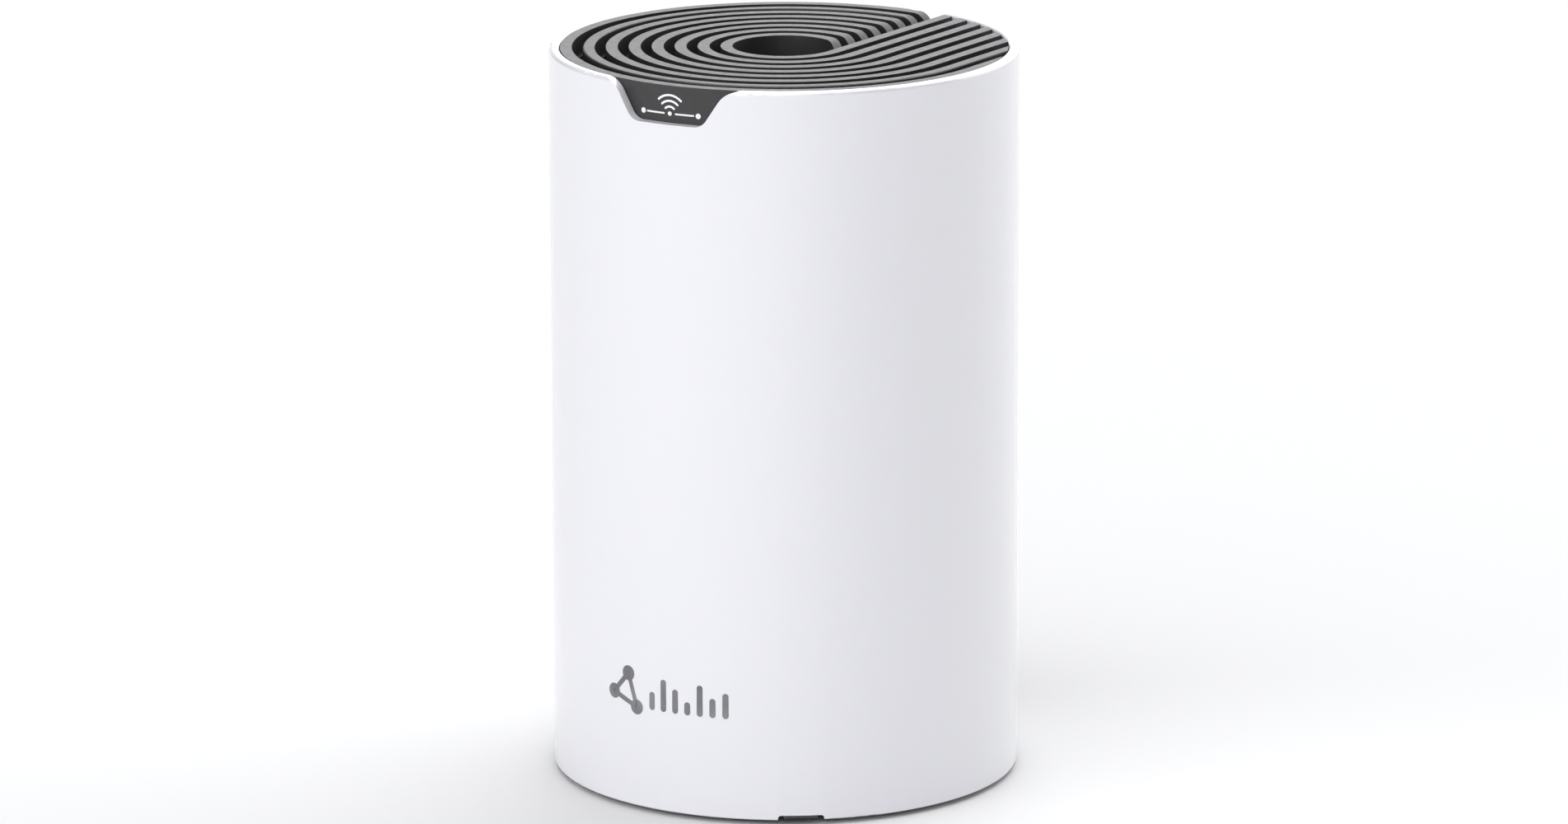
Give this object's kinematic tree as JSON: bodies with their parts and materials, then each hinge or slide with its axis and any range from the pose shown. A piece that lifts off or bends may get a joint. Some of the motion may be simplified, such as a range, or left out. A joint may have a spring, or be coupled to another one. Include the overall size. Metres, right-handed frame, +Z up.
{
  "type": "mesh wifi node",
  "caption": "Upright cylindrical wifi node with a white sleeve, a black cap of swirled ridges, a black face in a notch of the rim, and rear network and power sockets.",
  "frame": {"origin": "centre of the circle that the feet stand on, at the level of the floor", "axes": "+Z up along the sleeve's axis, -Y through the front, +X to the right seen from the front"},
  "size_m": [0.0907, 0.0907, 0.1432],
  "materials": {
    "white_shell": "satin gloss white, moulded",
    "black_cap": "satin black, moulded",
    "black_base": "fine textured black",
    "black_panel": "fine textured black",
    "label_film": "matt film, blank",
    "foot_rubber": "soft matt rubber",
    "zinc_screws": "zinc plated",
    "frame_plastic": "plain moulded",
    "circuit_board": "solder mask over glass laminate",
    "sink_aluminium": "extruded, plain",
    "thermal_pad": "soft silicone",
    "tin_plate": "tin plated sheet",
    "socket_plastic": "black thermoplastic",
    "gold_contact": "gold flashed",
    "nickel_contact": "nickel plated",
    "ferrite": "pressed ferrite",
    "capacitor_can": "can with dark polarity mark",
    "button_plastic": "light moulded plastic",
    "switch_body": "black thermoplastic",
    "switch_plunger": "moulded",
    "lamp_resin": "clear resin over a white base",
    "smoked_window": "smoked light guide",
    "lead_jacket": "flexible jacket",
    "plug_plastic": "natural nylon",
    "chip_epoxy": "moulded epoxy",
    "antenna_copper": "stamped copper alloy"
  },
  "bodies": {
    "housing": {"antenna_1": "antenna_copper", "antenna_2": "antenna_copper", "antenna_3": "antenna_copper", "antenna_lead_1": "lead_jacket", "antenna_lead_2": "lead_jacket", "antenna_lead_3": "lead_jacket", "antenna_plug_1": "gold_contact", "antenna_plug_2": "gold_contact", "antenna_plug_3": "gold_contact", "antenna_tray": "frame_plastic", "base_plate": "black_base", "base_screws": "zinc_screws", "board_screws": "zinc_screws", "flash_chip": "chip_epoxy", "heatsink_left": "sink_aluminium", "heatsink_right": "sink_aluminium", "heatsink_screws": "zinc_screws", "inner_frame": "frame_plastic", "lan_1_contacts": "gold_contact", "lan_1_housing": "socket_plastic", "lan_1_shell": "tin_plate", "lan_2_contacts": "gold_contact", "lan_2_housing": "socket_plastic", "lan_2_shell": "tin_plate", "lan_3_contacts": "gold_contact", "lan_3_housing": "socket_plastic", "lan_3_shell": "tin_plate", "led_board": "circuit_board", "led_lead": "lead_jacket", "led_plug": "plug_plastic", "led_window": "smoked_window", "line_transformer_1": "chip_epoxy", "line_transformer_2": "chip_epoxy", "line_transformer_3": "chip_epoxy", "main_board": "circuit_board", "memory_chip": "chip_epoxy", "outer_sleeve": "white_shell", "port_panel": "black_panel", "power_capacitors": "capacitor_can", "power_housing": "socket_plastic", "power_inductors": "ferrite", "power_pin": "nickel_contact", "power_spring": "nickel_contact", "processor": "chip_epoxy", "radio_chip_high": "chip_epoxy", "radio_chip_low": "chip_epoxy", "rating_label": "label_film", "reset_switch_body": "switch_body", "rubber_feet": "foot_rubber", "shield_can_processor": "tin_plate", "shield_can_radio": "tin_plate", "status_led": "lamp_resin", "switch_chip": "chip_epoxy", "thermal_pads": "thermal_pad", "top_cap": "black_cap"},
    "reset_button": {"reset_button": "button_plastic", "reset_switch_plunger": "switch_plunger"}
  },
  "joints": [
    {"name": "reset_press", "type": "slide", "parent": "housing", "child": "reset_button", "axis": [0, 0, 1], "range_m": [0, 0.0006], "stiffness_N_per_m": 800, "springref_m": -0.0004}
  ]
}
